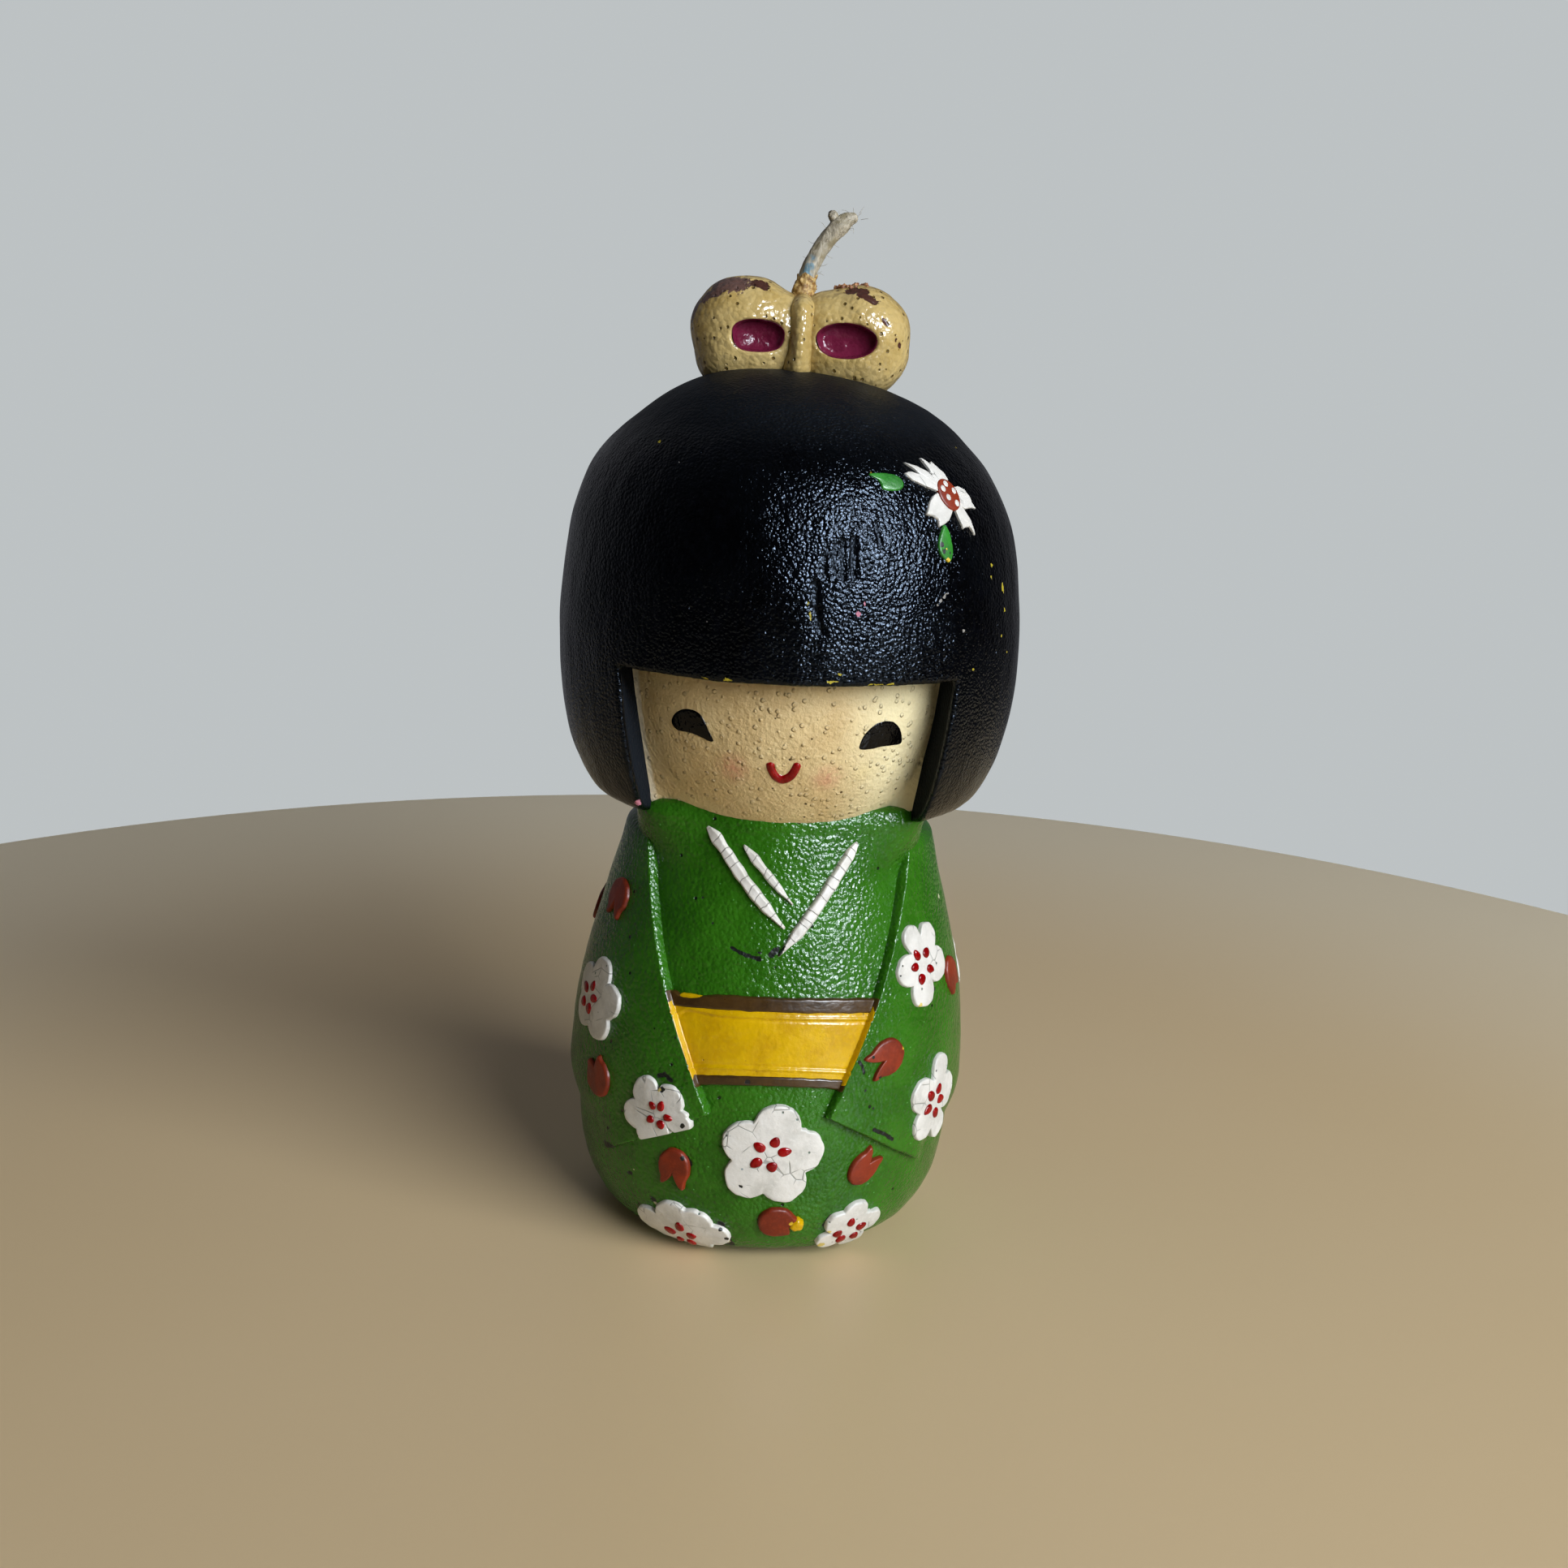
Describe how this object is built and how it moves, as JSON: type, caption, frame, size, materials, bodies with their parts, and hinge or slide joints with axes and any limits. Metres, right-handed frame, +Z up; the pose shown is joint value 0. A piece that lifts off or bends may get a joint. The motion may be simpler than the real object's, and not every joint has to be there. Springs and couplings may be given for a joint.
{
  "type": "kokeshi doll candle",
  "caption": "Moulded wax candle in the shape of a kokeshi doll in a green kimono, with raised painted trim, a bow and a cotton wick.",
  "frame": {"origin": "middle of the flat base, on the surface that the doll stands on", "axes": "+Z up through the wick, -Y is the way the face looks, +X is the side of the hair flower"},
  "size_m": [0.0608, 0.0608, 0.1343],
  "materials": {
    "kimono_green": "semi-gloss paint on wax, finely bumped and pitted",
    "hair_black": "satin black paint on wax with a blue-black sheen and dents",
    "face_paint": "bumpy matt cream paint with tiny dark pits",
    "bow_cream": "glossy cream paint, chipped down to mauve-brown wax",
    "plum_paint": "glossy plum paint",
    "white_paint": "thick matt white paint, cracked and speckled",
    "petal_red_brown": "red-brown paint, chipped at the edges",
    "obi_yellow": "glossy yellow paint",
    "cord_brown": "hand-painted dark brown",
    "eye_black": "brushed black paint",
    "mouth_red": "red paint",
    "leaf_green": "bright green paint",
    "crust_wax": "rough yellow-brown old wax",
    "wick_cotton": "waxed braided cotton, fuzzy"
  },
  "bodies": {
    "root": {"kimono_body": "kimono_green", "sleeve_left": "kimono_green", "sleeve_right": "kimono_green", "head": "face_paint", "hair_cap": "hair_black", "bow_loop_left": "bow_cream", "bow_loop_right": "bow_cream", "bow_knot": "bow_cream", "bow_inlay_left": "plum_paint", "bow_inlay_right": "plum_paint", "wick": "wick_cotton", "wick_wax_crust": "crust_wax", "obi_band": "obi_yellow", "obi_back_band": "obi_yellow", "obi_drum_knot": "obi_yellow", "obi_upper_cord": "cord_brown", "obi_lower_cord": "cord_brown", "obi_drum_cord": "cord_brown", "collar_outer_left": "white_paint", "collar_inner_left": "white_paint", "collar_right": "white_paint", "hair_flower": "white_paint", "hair_flower_centre": "petal_red_brown", "hair_leaf_upper": "leaf_green", "hair_leaf_lower": "leaf_green", "eye_left": "eye_black", "eye_right": "eye_black", "mouth": "mouth_red", "blossom_1": "white_paint", "petal_1": "petal_red_brown", "blossom_2": "white_paint", "petal_2": "petal_red_brown", "blossom_3": "white_paint", "petal_3": "petal_red_brown", "blossom_4": "white_paint", "petal_4": "petal_red_brown", "blossom_5": "white_paint", "petal_5": "petal_red_brown", "blossom_6": "white_paint", "petal_6": "petal_red_brown", "blossom_7": "white_paint", "petal_7": "petal_red_brown", "blossom_8": "white_paint", "petal_8": "petal_red_brown", "blossom_9": "white_paint", "petal_9": "petal_red_brown", "blossom_10": "white_paint", "petal_10": "petal_red_brown", "blossom_11": "white_paint", "petal_11": "petal_red_brown"}
  },
  "joints": []
}
